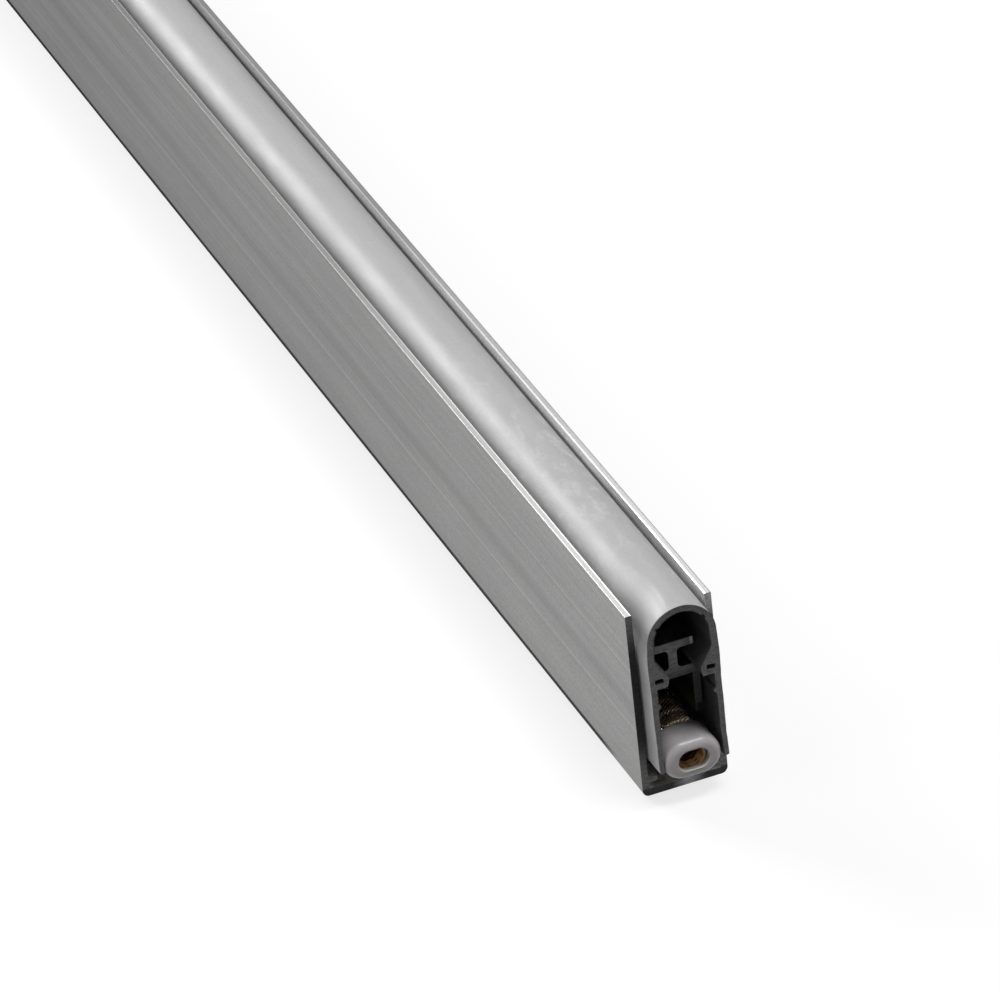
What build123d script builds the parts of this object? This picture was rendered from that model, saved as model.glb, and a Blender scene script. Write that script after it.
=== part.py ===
from build123d import *
from math import atan2, degrees, hypot, sqrt
import os

# Automatic door bottom seal, lying on the flat back of its channel with the seal upwards.
# Millimetres. Y runs along the channel with the plunger at -Y, Z points out of the open side,
# and the origin is the middle of the channel's flat back face.

# Channel
housing_length = 335.0
housing_width = 13.0
housing_height = 30.0
wall = 1.0
web = 1.1
edge_radius = 1.0
lip_radius = 0.15
groove_height = 1.1
ledge_thickness = 0.8
ledge_reach = 1.4

# Rubber seal strip
seal_overhang = 4.0
seal_wall_gap = 0.25
crown_rise = 1.7
crown_thickness = 1.0
leg_thickness = 1.1
leg_tip_thickness = 0.7
leg_tip_radius = 0.35
leg_floor_gap = 2.6
hinge_groove_radius = 0.3
hinge_groove_spread = 3.5
nub_radius = 0.4
nub_drop = 2.8
barb_height = 4.65
barb_reach = 1.9
barb_tip_rise = 1.45
barb_undercut = 0.35
barb_tip_radius = 0.3
barb_hole_width = 1.3
barb_hole_height = 0.7
barb_hole_rise = 1.25
barb_hole_offset = 0.35

# Carrier extrusion inside the seal strip
carrier_setback = 0.2
crown_space = 8.0
carrier_flange = 1.2
carrier_pocket = 3.2
carrier_floor = 1.5
carrier_leg_gap = 1.25
carrier_leg_thickness = 1.1
carrier_web_thickness = 1.3
carrier_side_gap = 0.35
carrier_flange_inset = 0.6
carrier_corner_radius = 0.7

# Plunger and its adjusting thread
plunger_projection = 4.5
plunger_length = 5.4
plunger_height = 6.0
plunger_side_gap = 0.2
plunger_floor_gap = 0.75
plunger_rim_radius = 1.2
key_opening_width = 4.7
key_opening_height = 3.1
key_opening_bevel = 0.2
plunger_face_wall = 1.0
insert_length = 13.1
insert_wall = 0.7
knurl_diameter = 6.8
knurl_bevel = 0.3

# Push rod and return spring
rod_diameter = 3.5
thread_gap = 0.05
rod_setback = 2.8
socket_width = 2.0
socket_depth = 2.2
flange_diameter = 6.6
flange_thickness = 1.0
flange_gap = 1.4
neck_diameter = 3.0
collar_diameter = 5.6
collar_thickness = 1.2
spring_length = 18.0
spring_mean_diameter = 5.9
spring_wire = 0.8
spring_turns = 4.0
spring_wire_sides = 4
guide_length = 8.0
guide_gap = 0.08

# Cam slides and lift plates
stroke = 7.5
strip_thickness = 0.85
strip_gap = 0.1
strip_tail = 3.2
slider_gap = 2.0
slider_wall = 4.0
slider_lip = 1.35
axial_play = 0.1
neck_slot_gap = 0.15
collar_pocket_gap = 0.2
pin_diameter = 1.8
pin_gap = 0.07
pin_drop = 2.2
tower_length = 4.6
tower_bevel = 1.2
tower_top_gap = 0.5
tower_side_gap = 0.3
plate_thickness = 1.8
plate_side_gap = 0.2
plate_floor_gap = 0.4
slot_rim = 1.18
plate_lead = 2.5
plate_end_length = 5.8
plate_end_gap = 0.9
lug_length = 2.4
lug_height = 1.2
lug_reach = 0.8
lug_gap = 0.05
block_side_gap = 0.1
slider_side_gap = 0.2
block_strip_gap = 0.1
block_top_gap = 0.5
block_end_gap = 0.7
block_lead = 2.2
foot_length = 5.0
foot_half_width = 2.5
foot_gap = 0.5
foot_lead = 1.7
foot_tail = 1.0
rear_unit_inset = 64.5

# Fasteners
screw_diameter = 2.5
screw_head_diameter = 4.2
screw_socket_width = 1.5
screw_socket_depth = 0.5
guide_screw_depth = 4.0
block_screw_depth = 8.0
rivet_diameter = 1.8
rivet_cover = 0.35

# Heights and half widths that follow from the channel
inner_half = housing_width / 2 - wall
throat_half = inner_half - ledge_reach
groove_top = web + groove_height
ledge_top = groove_top + ledge_thickness
strip_bottom = web + strip_gap
strip_top = strip_bottom + strip_thickness
block_floor = strip_top + block_strip_gap

axis_height = ledge_top + plunger_floor_gap + plunger_height / 2

# Seal strip
seal_half = inner_half - seal_wall_gap
crown_top = housing_height + crown_rise
crown_centre = crown_top - seal_half
crown_inner_radius = seal_half - crown_thickness
leg_tip = ledge_top + leg_floor_gap
leg_inner = seal_half - leg_thickness
leg_tip_inner = seal_half - leg_tip_thickness

# Carrier
carrier_top = crown_top - crown_space
pocket_top = carrier_top - carrier_flange
pocket_floor = pocket_top - carrier_pocket
carrier_under = pocket_floor - carrier_floor
carrier_leg_end = axis_height + flange_diameter / 2 + carrier_leg_gap
carrier_half = leg_inner - carrier_side_gap
carrier_leg_inner = carrier_half - carrier_leg_thickness

# Plunger, rod and spring, as distances from the channel's plunger end
plunger_half = leg_tip_inner - plunger_side_gap
plunger_face = -plunger_projection
plunger_back = plunger_face + plunger_length
insert_front = plunger_face + plunger_face_wall
insert_back = insert_front + insert_length
insert_bore = rod_diameter + 2 * thread_gap
insert_diameter = insert_bore + 2 * insert_wall
rod_front = plunger_face + rod_setback
flange_front = insert_back + flange_gap
flange_back = flange_front + flange_thickness
guide_front = flange_back + spring_length
guide_back = guide_front + guide_length

# Cam slide, lift plate and guide block of the front unit
slider_front = guide_back + slider_gap
neck_front = slider_front - axial_play
neck_back = slider_front + slider_lip + axial_play
collar_back = neck_back + collar_thickness
slider_half = throat_half - slider_side_gap
block_half = throat_half - block_side_gap
block_top = carrier_leg_end - block_top_gap
tower_top = carrier_under - tower_top_gap
tower_half = carrier_leg_inner - tower_side_gap
plate_half = plate_thickness / 2
plate_slot_half = plate_half + plate_side_gap
plate_end_floor = block_top + block_end_gap
pin_height = carrier_under - pin_drop
slot_radius = pin_diameter / 2 + pin_gap
plate_bottom = strip_top + plate_floor_gap
slot_low = plate_bottom + slot_rim + slot_radius
drop = pin_height - slot_low
plate_front = slider_front + slider_wall + plate_lead
plate_thin_front = plate_front + plate_end_length
cam_tower = plate_thin_front + plate_end_gap
cam_pin = cam_tower + tower_length / 2
slider_back = cam_tower + tower_length
block_front = slider_back + stroke + block_lead
guide_tower = block_front + block_end_gap
guide_pin = guide_tower + tower_length / 2
plate_thin_back = guide_tower + tower_length + plate_end_gap
plate_back = plate_thin_back + plate_end_length
block_slot_back = plate_thin_back + block_end_gap
foot_front = block_slot_back + foot_lead
foot_back = foot_front + foot_length
block_back = foot_back + foot_tail
foot_middle = (foot_front + foot_back) / 2
guide_middle = (guide_front + guide_back) / 2
slider_rivet_place = slider_front + slider_wall / 2
slider_rivet_top = axis_height - collar_diameter / 2 - collar_pocket_gap - rivet_cover
lug_middle = (plate_end_floor + carrier_under) / 2
unit_pitch = housing_length - rear_unit_inset - cam_pin
strip_end = slider_back + unit_pitch + strip_tail


def along(place):
    """Y of a place counted from the plunger end of the channel."""
    return place - housing_length / 2


def run(section, start, end):
    """A section drawn in X and Z, run along the channel between two places."""
    end_plane = Plane(origin=(0, along(end), 0), x_dir=(1, 0, 0), z_dir=(0, -1, 0))
    return extrude(end_plane * section, amount=end - start)


def across(section, half_width):
    """A section drawn in Y and Z, as thick to each side of the middle."""
    middle_plane = Plane(origin=(0, 0, 0), x_dir=(0, 1, 0), z_dir=(1, 0, 0))
    return extrude(middle_plane * section, amount=half_width, both=True)


def block(half_width, start, end, bottom, top):
    """A block on the middle line between two places and two heights."""
    middle = Pos(0, along((start + end) / 2), (bottom + top) / 2)
    return middle * Box(2 * half_width, end - start, top - bottom)


def bar(diameter, start, end):
    """A round bar on the push rod's axis."""
    middle = Pos(0, along((start + end) / 2), axis_height)
    return middle * Rot(90, 0, 0) * Cylinder(diameter / 2, end - start)


def cross_pin(diameter, half_width, place, height):
    """A round pin across the channel."""
    return Pos(0, along(place), height) * Rot(0, 90, 0) * Cylinder(diameter / 2, 2 * half_width)


def upright(diameter, place, bottom, top):
    """A round post on the middle line."""
    return Pos(0, along(place), (bottom + top) / 2) * Cylinder(diameter / 2, top - bottom)


def corners(section, x, height):
    """The corners of a section at one distance from the middle and one height."""
    tiny = 0.001
    found = section.vertices()
    return [v for v in found if abs(abs(v.X) - x) < tiny and abs(v.Y - height) < tiny]


def bar_of_section(width, bottom, top):
    """A rectangle in a section, centred on the middle line."""
    return Pos(0, (bottom + top) / 2) * Rectangle(width, top - bottom)


def housing_section():
    """Channel with a groove for brackets and slides under two small ledges."""
    section = bar_of_section(housing_width, 0, housing_height)
    section -= bar_of_section(2 * inner_half, ledge_top, housing_height)
    section -= bar_of_section(2 * throat_half, groove_top, ledge_top)
    section -= bar_of_section(2 * inner_half, web, groove_top)
    section = fillet(corners(section, housing_width / 2, 0), edge_radius)
    lips = corners(section, housing_width / 2, housing_height)
    lips += corners(section, inner_half, housing_height)
    return fillet(lips, lip_radius)


def screw(place, depth):
    """Countersunk screw that comes in through the flat back."""
    socket = extrude(RegularPolygon(screw_socket_width / 2, 6, major_radius=False), screw_socket_depth)
    return screw_hole(place, depth) - Pos(0, along(place), 0) * socket


def screw_hole(place, depth):
    """The hole that the screw fills, with its countersink flush with the flat back."""
    sink = (screw_head_diameter - screw_diameter) / 2
    cone = Cone(screw_head_diameter / 2, screw_diameter / 2, sink)
    return Pos(0, along(place), sink / 2) * cone + upright(screw_diameter, place, sink, depth)


def housing():
    """Channel with its three screw holes."""
    channel = run(housing_section(), 0, housing_length)
    channel -= screw_hole(guide_middle, guide_screw_depth)
    for shift in (0, unit_pitch):
        channel -= screw_hole(foot_middle + shift, block_screw_depth)
    return channel


def leg_face(height):
    """Distance from the middle to the inside of the tapering leg at a height."""
    top = crown_centre + sqrt(crown_inner_radius ** 2 - leg_inner ** 2)
    share = (top - height) / (top - leg_tip)
    return leg_inner + share * (leg_tip_inner - leg_inner)


def arch(half, radius, tip_half):
    """Outline of a round crown on two legs, closed across the leg tips."""
    shoulder = crown_centre + sqrt(radius ** 2 - half ** 2)
    crown = ThreePointArc((-half, shoulder), (0, crown_centre + radius), (half, shoulder))
    legs = Polyline((half, shoulder), (tip_half, leg_tip), (-tip_half, leg_tip), (-half, shoulder))
    return make_face(Curve() + [crown, legs])


def barb():
    """Hollow hook on the right leg that snaps into the carrier's side pocket."""
    tip = leg_inner - barb_reach
    outline = Polyline(
        (leg_tip_inner, pocket_floor + barb_height),
        (leg_inner, pocket_floor + barb_height),
        (tip, pocket_floor + barb_tip_rise),
        (tip + barb_undercut, pocket_floor),
        (leg_tip_inner, pocket_floor),
        close=True,
    )
    hook = make_face(outline)
    hook = fillet(corners(hook, tip, pocket_floor + barb_tip_rise), barb_tip_radius)
    return hook


def barb_hole():
    """The slit that lets the hook give."""
    place = Pos(leg_inner - barb_hole_offset, pocket_floor + barb_hole_rise)
    return place * Rectangle(barb_hole_width, barb_hole_height)


def seal_section():
    """Rubber arch with hinge grooves, hooks and a small nub on each leg."""
    section = arch(seal_half, seal_half, seal_half)
    hollow = arch(leg_inner, crown_inner_radius, leg_tip_inner)
    hinge_height = crown_centre + sqrt(crown_inner_radius ** 2 - hinge_groove_spread ** 2)
    nub_height = pocket_floor - nub_drop
    groove = Pos(hinge_groove_spread, hinge_height) * Circle(hinge_groove_radius)
    nub = Pos(leg_face(nub_height), nub_height) * Circle(nub_radius)
    section -= hollow
    section = fillet(corners(section, seal_half, leg_tip), leg_tip_radius)
    for half in (groove, mirror(groove, about=Plane.YZ)):
        section -= half
    for half in (nub, barb()):
        section += half
        section += mirror(half, about=Plane.YZ)
    for half in (barb_hole(), mirror(barb_hole(), about=Plane.YZ)):
        section -= half
    return section


def seal_strip():
    """Rubber strip, a little longer than the channel at both ends."""
    return run(seal_section(), -seal_overhang, housing_length + seal_overhang)


def carrier_section():
    """Profile with side pockets for the hooks and two legs for the lift plates."""
    flange_half = carrier_half - carrier_flange_inset
    section = bar_of_section(2 * flange_half, pocket_top, carrier_top)
    section += bar_of_section(carrier_web_thickness, pocket_floor, pocket_top)
    section += bar_of_section(2 * carrier_half, carrier_under, pocket_floor)
    section += bar_of_section(2 * carrier_half, carrier_leg_end, carrier_under)
    section -= bar_of_section(2 * carrier_leg_inner, carrier_leg_end, carrier_under)
    rounded = corners(section, carrier_web_thickness / 2, pocket_top)
    rounded += corners(section, carrier_web_thickness / 2, pocket_floor)
    return fillet(rounded, carrier_corner_radius)


def lug_places(shift):
    """Middles of the thick ends of one lift plate."""
    front = (plate_front + plate_thin_front) / 2 + shift
    back = (plate_thin_back + plate_back) / 2 + shift
    return front, back


def lugs(place, half_width, gap):
    """Two snap lugs, or with a gap the windows that they click into."""
    half_length = lug_length / 2 + gap
    half_height = lug_height / 2 + gap
    return block(half_width, place - half_length, place + half_length,
                 lug_middle - half_height, lug_middle + half_height)


def carrier():
    """Carrier cut just short of the channel, with windows in its legs for the snap lugs."""
    bar_here = run(carrier_section(), carrier_setback, housing_length - carrier_setback)
    for shift in (0, unit_pitch):
        for place in lug_places(shift):
            bar_here -= lugs(place, carrier_half, lug_gap)
    return bar_here


def slot(start, end):
    """Slot in the lift plate between two pin centres, each a place and a height."""
    rise = end[1] - start[1]
    length = end[0] - start[0]
    middle = Pos(along((start[0] + end[0]) / 2), (start[1] + end[1]) / 2)
    shape = SlotCenterToCenter(hypot(length, rise), 2 * slot_radius)
    return middle * Rot(0, 0, degrees(atan2(rise, length))) * shape


def lift_plate(shift):
    """Thin plate with the inclined cam slot and the upright guide slot, and two thick ends."""
    plate = block(plate_half, plate_front + shift, plate_back + shift, plate_end_floor, carrier_under)
    plate += block(plate_half, plate_thin_front + shift, plate_thin_back + shift, plate_bottom, carrier_under)
    plate += block(carrier_leg_inner, plate_front + shift, plate_thin_front + shift,
                   plate_end_floor, carrier_under)
    plate += block(carrier_leg_inner, plate_thin_back + shift, plate_back + shift,
                   plate_end_floor, carrier_under)
    cam = slot((cam_pin + shift, pin_height), (cam_pin + shift + stroke, slot_low))
    guide = slot((guide_pin + shift, pin_height), (guide_pin + shift, slot_low))
    plate -= across(cam, plate_half)
    plate -= across(guide, plate_half)
    for place in lug_places(shift):
        plate += lugs(place, carrier_leg_inner + lug_reach, 0)
    return plate


def tower(start):
    """Two bevelled cheeks beside the lift plate, with the hole for their pin."""
    middle = start + tower_length / 2
    height = tower_top - block_top
    outline = Pos(along(middle), (block_top + tower_top) / 2) * Rectangle(tower_length, height)
    top_corners = [v for v in outline.vertices() if abs(v.Y - tower_top) < 0.001]
    cheeks = across(chamfer(top_corners, tower_bevel), tower_half)
    cheeks -= block(plate_slot_half, start, start + tower_length, block_top, tower_top)
    return cheeks - cross_pin(pin_diameter, tower_half, middle, pin_height)


def cradle(diameter, start, end):
    """Space for a round part of the rod, open at the top so that the rod drops in."""
    space = bar(diameter, start, end)
    return space + block(diameter / 2, start, end, axis_height, block_top)


def cam_slider(shift, takes_rod):
    """Slide block with two cheeks that carry the cam pin."""
    front = slider_front + shift
    back = slider_back + shift
    slider = block(slider_half, front, back, strip_top, block_top)
    slider -= block(plate_slot_half, front + slider_wall, back, strip_top, block_top)
    slider += tower(cam_tower + shift)
    if takes_rod:
        lip_back = front + slider_lip
        slider -= cradle(neck_diameter + 2 * neck_slot_gap, front, lip_back)
        slider -= cradle(collar_diameter + 2 * collar_pocket_gap, lip_back, collar_back + collar_pocket_gap)
    return slider - slider_rivet(shift)


def slider_rivet(shift):
    """Rivet from the slide strip up into a slide block."""
    return upright(rivet_diameter, slider_rivet_place + shift, strip_bottom, slider_rivet_top)


def slider_rivets():
    """The rivets between the slide strip and its two blocks."""
    return Part() + [slider_rivet(shift) for shift in (0, unit_pitch)]


def slide_strip():
    """Flat strip in the channel's groove, with a window that clears the front block's foot."""
    strip = block(seal_half, slider_front, strip_end, strip_bottom, strip_top)
    window_front = foot_front - stroke - foot_gap
    window_back = foot_back + foot_gap
    window_half = foot_half_width + foot_gap
    strip -= block(window_half, window_front, window_back, strip_bottom, strip_top)
    for shift in (0, unit_pitch):
        strip -= slider_rivet(shift)
    return strip


def guide_block(shift):
    """Fixed block with the cheeks that keep the lift plate from moving along the channel."""
    front = block_front + shift
    back = block_back + shift
    fixed = block(block_half, front, back, block_floor, block_top)
    fixed -= block(plate_slot_half, front, block_slot_back + shift, block_floor, block_top)
    fixed += tower(guide_tower + shift)
    fixed += block(foot_half_width, foot_front + shift, foot_back + shift, web, block_floor)
    return fixed - screw_hole(foot_middle + shift, block_screw_depth)


def guide_block_screws():
    """Screws of both fixed blocks."""
    return Part() + [screw(foot_middle + shift, block_screw_depth) for shift in (0, unit_pitch)]


def rod_guide():
    """Bearing block with a foot in the channel's groove and a bore for the rod."""
    guide = block(block_half, guide_front, guide_back, web, block_top)
    guide += block(seal_half, guide_front, guide_back, web, groove_top)
    guide -= bar(rod_diameter + 2 * guide_gap, guide_front, guide_back)
    return guide - screw_hole(guide_middle, guide_screw_depth)


def push_rod():
    """Rod with a hex socket, a spring flange and a collar that hooks into the front slide."""
    rod = bar(rod_diameter, rod_front, neck_front)
    rod += bar(flange_diameter, flange_front, flange_back)
    rod += bar(neck_diameter, neck_front, neck_back)
    rod += bar(collar_diameter, neck_back, collar_back)
    socket = Pos(0, axis_height) * RegularPolygon(socket_width / 2, 6, major_radius=False)
    return rod - run(socket, rod_front, rod_front + socket_depth)


def plunger():
    """Moulded head with a rounded front rim, an oval key opening and a bore for the insert."""
    outline = Pos(0, axis_height) * SlotOverall(2 * plunger_half, plunger_height)
    head = run(outline, plunger_face, plunger_back)
    front = head.faces().sort_by(Axis.Y)[0]
    head = fillet(front.edges(), plunger_rim_radius)
    opening = Pos(0, axis_height) * SlotOverall(key_opening_width, key_opening_height)
    head -= run(opening, plunger_face, insert_front)
    mouth = head.faces().sort_by(Axis.Y)[0].inner_wires()[0]
    head = chamfer(mouth.edges(), key_opening_bevel)
    return head - bar(insert_diameter, insert_front, plunger_back)


def plunger_insert():
    """Brass threaded barrel, plain in the head and knurled behind it."""
    knurl = bar(knurl_diameter, plunger_back, insert_back)
    knurl = chamfer(knurl.edges(), knurl_bevel)
    barrel = bar(insert_diameter, insert_front, insert_back) + knurl
    return barrel - bar(insert_bore, insert_front, insert_back)


def return_spring():
    """Compression spring between the rod's flange and the rod guide."""
    first = flange_back + spring_wire / 2
    height = spring_length - spring_wire
    coil = Helix(
        pitch=height / spring_turns,
        height=height,
        radius=spring_mean_diameter / 2,
        center=(0, along(first), axis_height),
        direction=(0, 1, 0),
    )
    wire = Plane(origin=coil @ 0, z_dir=coil % 0) * RegularPolygon(spring_wire / 2, spring_wire_sides)
    return sweep(wire, path=coil, is_frenet=True)


def parts():
    """Every piece under the name of its file."""
    return {
        "housing": housing(),
        "rod_guide": rod_guide(),
        "rod_guide_screw": screw(guide_middle, guide_screw_depth),
        "guide_block_front": guide_block(0),
        "guide_block_rear": guide_block(unit_pitch),
        "guide_block_screws": guide_block_screws(),
        "guide_pin_front": cross_pin(pin_diameter, tower_half, guide_pin, pin_height),
        "guide_pin_rear": cross_pin(pin_diameter, tower_half, guide_pin + unit_pitch, pin_height),
        "return_spring": return_spring(),
        "slide_strip": slide_strip(),
        "cam_slider_front": cam_slider(0, True),
        "cam_slider_rear": cam_slider(unit_pitch, False),
        "cam_pin_front": cross_pin(pin_diameter, tower_half, cam_pin, pin_height),
        "cam_pin_rear": cross_pin(pin_diameter, tower_half, cam_pin + unit_pitch, pin_height),
        "slider_rivets": slider_rivets(),
        "push_rod": push_rod(),
        "plunger": plunger(),
        "plunger_insert": plunger_insert(),
        "carrier": carrier(),
        "seal_strip": seal_strip(),
        "lift_plate_front": lift_plate(0),
        "lift_plate_rear": lift_plate(unit_pitch),
    }


os.makedirs("parts", exist_ok=True)
for name, solid in parts().items():
    export_step(solid, os.path.join("parts", name + ".step"))
print("stroke", stroke, "drop", round(drop, 4), "ratio", round(drop / stroke, 6))
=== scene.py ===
import bpy
import bmesh
import math
import random
from mathutils import Matrix, Vector, noise
from mathutils.geometry import delaunay_2d_cdt

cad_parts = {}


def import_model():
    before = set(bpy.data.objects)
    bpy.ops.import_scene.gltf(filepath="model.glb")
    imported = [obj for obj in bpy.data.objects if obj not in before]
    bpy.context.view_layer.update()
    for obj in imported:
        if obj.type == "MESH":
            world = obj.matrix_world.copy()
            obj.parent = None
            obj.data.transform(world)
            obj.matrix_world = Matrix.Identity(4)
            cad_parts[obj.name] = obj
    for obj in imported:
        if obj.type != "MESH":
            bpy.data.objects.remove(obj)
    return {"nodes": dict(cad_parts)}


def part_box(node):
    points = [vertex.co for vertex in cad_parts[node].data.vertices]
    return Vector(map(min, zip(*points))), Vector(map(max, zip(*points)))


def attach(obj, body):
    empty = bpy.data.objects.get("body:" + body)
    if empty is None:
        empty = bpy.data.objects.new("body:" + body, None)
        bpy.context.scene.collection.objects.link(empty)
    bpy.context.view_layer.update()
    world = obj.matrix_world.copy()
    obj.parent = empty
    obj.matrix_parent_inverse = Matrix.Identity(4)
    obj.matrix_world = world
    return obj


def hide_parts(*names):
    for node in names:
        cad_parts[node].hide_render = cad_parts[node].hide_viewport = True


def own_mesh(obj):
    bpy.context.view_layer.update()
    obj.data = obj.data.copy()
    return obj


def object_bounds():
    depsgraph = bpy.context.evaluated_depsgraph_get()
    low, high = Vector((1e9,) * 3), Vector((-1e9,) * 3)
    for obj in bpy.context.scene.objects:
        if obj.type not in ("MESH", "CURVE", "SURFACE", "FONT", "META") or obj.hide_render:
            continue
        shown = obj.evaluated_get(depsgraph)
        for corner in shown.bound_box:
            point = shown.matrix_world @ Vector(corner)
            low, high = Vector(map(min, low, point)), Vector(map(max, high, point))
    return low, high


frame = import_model()
cad_low, cad_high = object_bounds()

# Automatic door bottom seal, lying on the back of its channel with the seal upwards.
# Metres. Y runs along the channel, and the plunger is at its -Y end.
MM = 0.001

# Camera, fitted to the channel's edges
CAMERA_PLACE = (-0.29948, -0.98627, 0.57956)
CAMERA_RIGHT = (0.92253, -0.37371, -0.09630)
CAMERA_UP = (0.27204, 0.45275, 0.84912)
CAMERA_BACK = (-0.27373, -0.80954, 0.51934)
CAMERA_LENS = 268.1
SENSOR_WIDTH = 36.0

# Light
FLOOR_SIZE = 8.0
FLOOR_COLOUR = (0.28, 0.28, 0.28, 1)
FLOOR_GLOW = 0.74
WORLD_LIGHT = 0.11
LAMP_DISTANCE = 1.5
KEY_DIRECTION = (-0.36, 0.81, 0.45)
KEY_SIZE = 0.6
KEY_POWER = 15.0
BACK_DIRECTION = (0.25, 0.80, 0.54)
BACK_SIZE = 1.0
BACK_POWER = 4.1
FILL_DIRECTION = (-0.95, 0.0, 0.30)
FILL_SIZE = 1.0
FILL_POWER = 6.5
TOP_DIRECTION = (0.20, -0.26, 0.94)
TOP_SIZE = 0.5
TOP_POWER = 12.0
SIDE_DIRECTION = (0.93, -0.05, 0.36)
SIDE_SIZE = 0.7
SIDE_POWER = 2.2

# Rubber strip: its section
SEAL_WALL = 1.1 * MM
SEAL_TIP_WALL = 0.7 * MM
CROWN_WALL = 1.0 * MM
TIP_RADIUS = 0.35 * MM
GROOVE_SPREAD = 3.5 * MM
GROOVE_RADIUS = 0.3 * MM
NUB_HEIGHT = 16.5 * MM
NUB_RADIUS = 0.4 * MM
BARB_FLOOR = 19.3 * MM
BARB_TOP = 23.95 * MM
BARB_TIP = (2.25 * MM, 20.75 * MM)
BARB_TIP_RADIUS = 0.3 * MM
BARB_UNDERCUT = 0.35 * MM
SLIT_MIDDLE = (3.8 * MM, 20.55 * MM)
SLIT_SIZE = (1.3 * MM, 0.7 * MM)
SLIT_ROUNDING = 0.45

# Rubber strip: how its ends are cut and stand out of line
CUT_ROUGHNESS = 0.16 * MM
CUT_GRAIN = 0.4 * MM
CUT_MESH = 0.42 * MM
CUT_SLANT = 0.4 * MM
SLANT_CURVE = 0.7
SEAL_LEAN = 0.16 * MM
LEG_FLARE = 0.16 * MM
LEG_WAVE = 0.16 * MM
LEG_WAVE_LENGTH = 9.0 * MM
LEG_WAVE_HEIGHT = 6.0 * MM
FLARE_HEIGHT = 8.0 * MM
SHOULDER_PINCH = 0.8 * MM
SHOULDER_HEIGHT = 2.0 * MM
MIDDLE_WIDTH = 2.0 * MM
WAVE_REACH = 12.0 * MM
END_STEPS = (0, 0.3, 0.8, 1.6, 2.6, 3.8, 5.2, 7, 9.5, 13, 18, 26, 38, 54, 74, 98, 126)

# Plunger and what it holds
PLUNGER_RIM = 1.2 * MM
KEY_OPENING = (4.7 * MM, 3.1 * MM)
KEY_OPENING_RIM = 0.2 * MM
FACE_WALL = 1.0 * MM
INSERT_WALL = 0.7 * MM
THREAD_PITCH = 0.7 * MM
THREAD_ROOT = 1.62 * MM
THREAD_DEPTH = 0.36 * MM
THREAD_GAP = 0.05 * MM
HEAD_GAP = 0.02 * MM
KNURL_TEETH = 34
KNURL_DEPTH = 0.32 * MM
KNURL_CREST = 0.625
KNURL_STEP = 0.1 * MM
KNURL_BEVEL_LENGTH = 0.35 * MM
KNURL_BEVEL_DEPTH = 0.3 * MM
RINGS_PER_PITCH = 8
RING_POINTS = 96
BARREL_POINTS = 204

# Push rod and return spring
ROD_RADIUS = 1.75 * MM
FLANGE_RADIUS = 3.3 * MM
FLANGE_THICKNESS = 1.0 * MM
NECK_RADIUS = 1.5 * MM
NECK_LENGTH = 1.55 * MM
COLLAR_RADIUS = 2.8 * MM
COLLAR_THICKNESS = 1.2 * MM
SOCKET_WIDTH = 2.0 * MM
SOCKET_DEPTH = 2.2 * MM
SOCKET_CONE = 0.6 * MM
THREAD_RELIEF = 0.8 * MM
THREAD_START = 0.5 * MM
THREAD_RUNOUT = 0.7 * MM
CENTRE_RADIUS = 0.02 * MM
ROD_POINTS = 72
EDGE_BEVEL = 0.15 * MM
SPRING_WIRE = 0.8 * MM
SPRING_TURNS = 6
END_COIL_PITCH = 1.03 * SPRING_WIRE
WIRE_POINTS = 10
COIL_POINTS = 40

# Finishes. Each line that the die left on a wall has its height and width in mm, and how much
# lighter it is; each band of painted light on a sawn end has its height and width in mm.
DIE_LINES = (
    (20.8, 0.13, 0.75),
    (20.5, 0.13, -0.25),
    (10.9, 0.13, 0.65),
    (28.6, 0.7, 0.10),
    (24.6, 0.10, 0.3),
    (6.0, 4.0, 0.06),
    (14.5, 2.2, -0.17),
)
HOUSING_END_PAINTED_LIGHT = ((3, 8), (29, 6))
CARRIER_END_PAINTED_LIGHT = ((22, 6),)
# Painted shade: how far the foot of the housing's walls is darkened.
FOOT_PAINTED_SHADE = 0.34
MILL = (0.228, 0.232, 0.226, 1)
PLASTIC = (0.51, 0.485, 0.495, 1)
# Painted highlight: the pale colour on the rim round the plunger's key opening.
PLASTIC_RIM_HIGHLIGHT = (0.62, 0.66, 0.42, 1)
ZINC = (0.50, 0.47, 0.38, 1)
TINTED_STEEL = (0.20, 0.14, 0.09, 1)
SPRING_STEEL = (0.42, 0.42, 0.42, 1)
BRASS_CREST = (0.85, 0.74, 0.55, 1)
BRASS_GROOVE = (0.17, 0.13, 0.095, 1)
# Painted shade: the dark colours of the brass's front face and bore within the plunger head.
BRASS_FRONT_PAINTED_SHADE = (0.10, 0.095, 0.09, 1)
BRASS_BORE_PAINTED_SHADE = (0.15, 0.08, 0.035, 1)


def box_of(node):
    """Lowest corner, highest corner, middle and size of a node at rest."""
    low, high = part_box(node)
    return low, high, (low + high) / 2, high - low


def mesh_object(name, points, faces, body, finishes, finish_of=None, sharp=35):
    """A mesh piece that rides on a body and takes its finish from a material slot."""
    mesh = bpy.data.meshes.new(name)
    mesh.from_pydata([tuple(p) for p in points], [], faces)
    for finish in finishes:
        mesh.materials.append(finish)
    if finish_of:
        for face, index in zip(mesh.polygons, finish_of):
            face.material_index = index
    work = bmesh.new()
    work.from_mesh(mesh)
    bmesh.ops.recalc_face_normals(work, faces=work.faces)
    work.to_mesh(mesh)
    work.free()
    mesh.shade_smooth()
    mesh.set_sharp_from_angle(angle=math.radians(sharp))
    piece = bpy.data.objects.new(name, mesh)
    bpy.context.scene.collection.objects.link(piece)
    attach(piece, body)
    return piece


def arc(centre, radius, start, end, steps):
    """Points from one angle to another, in degrees, on a circle in the section."""
    turns = [math.radians(start + (end - start) * i / steps) for i in range(steps + 1)]
    return [(centre[0] + radius * math.cos(t), centre[1] + radius * math.sin(t)) for t in turns]


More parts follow.
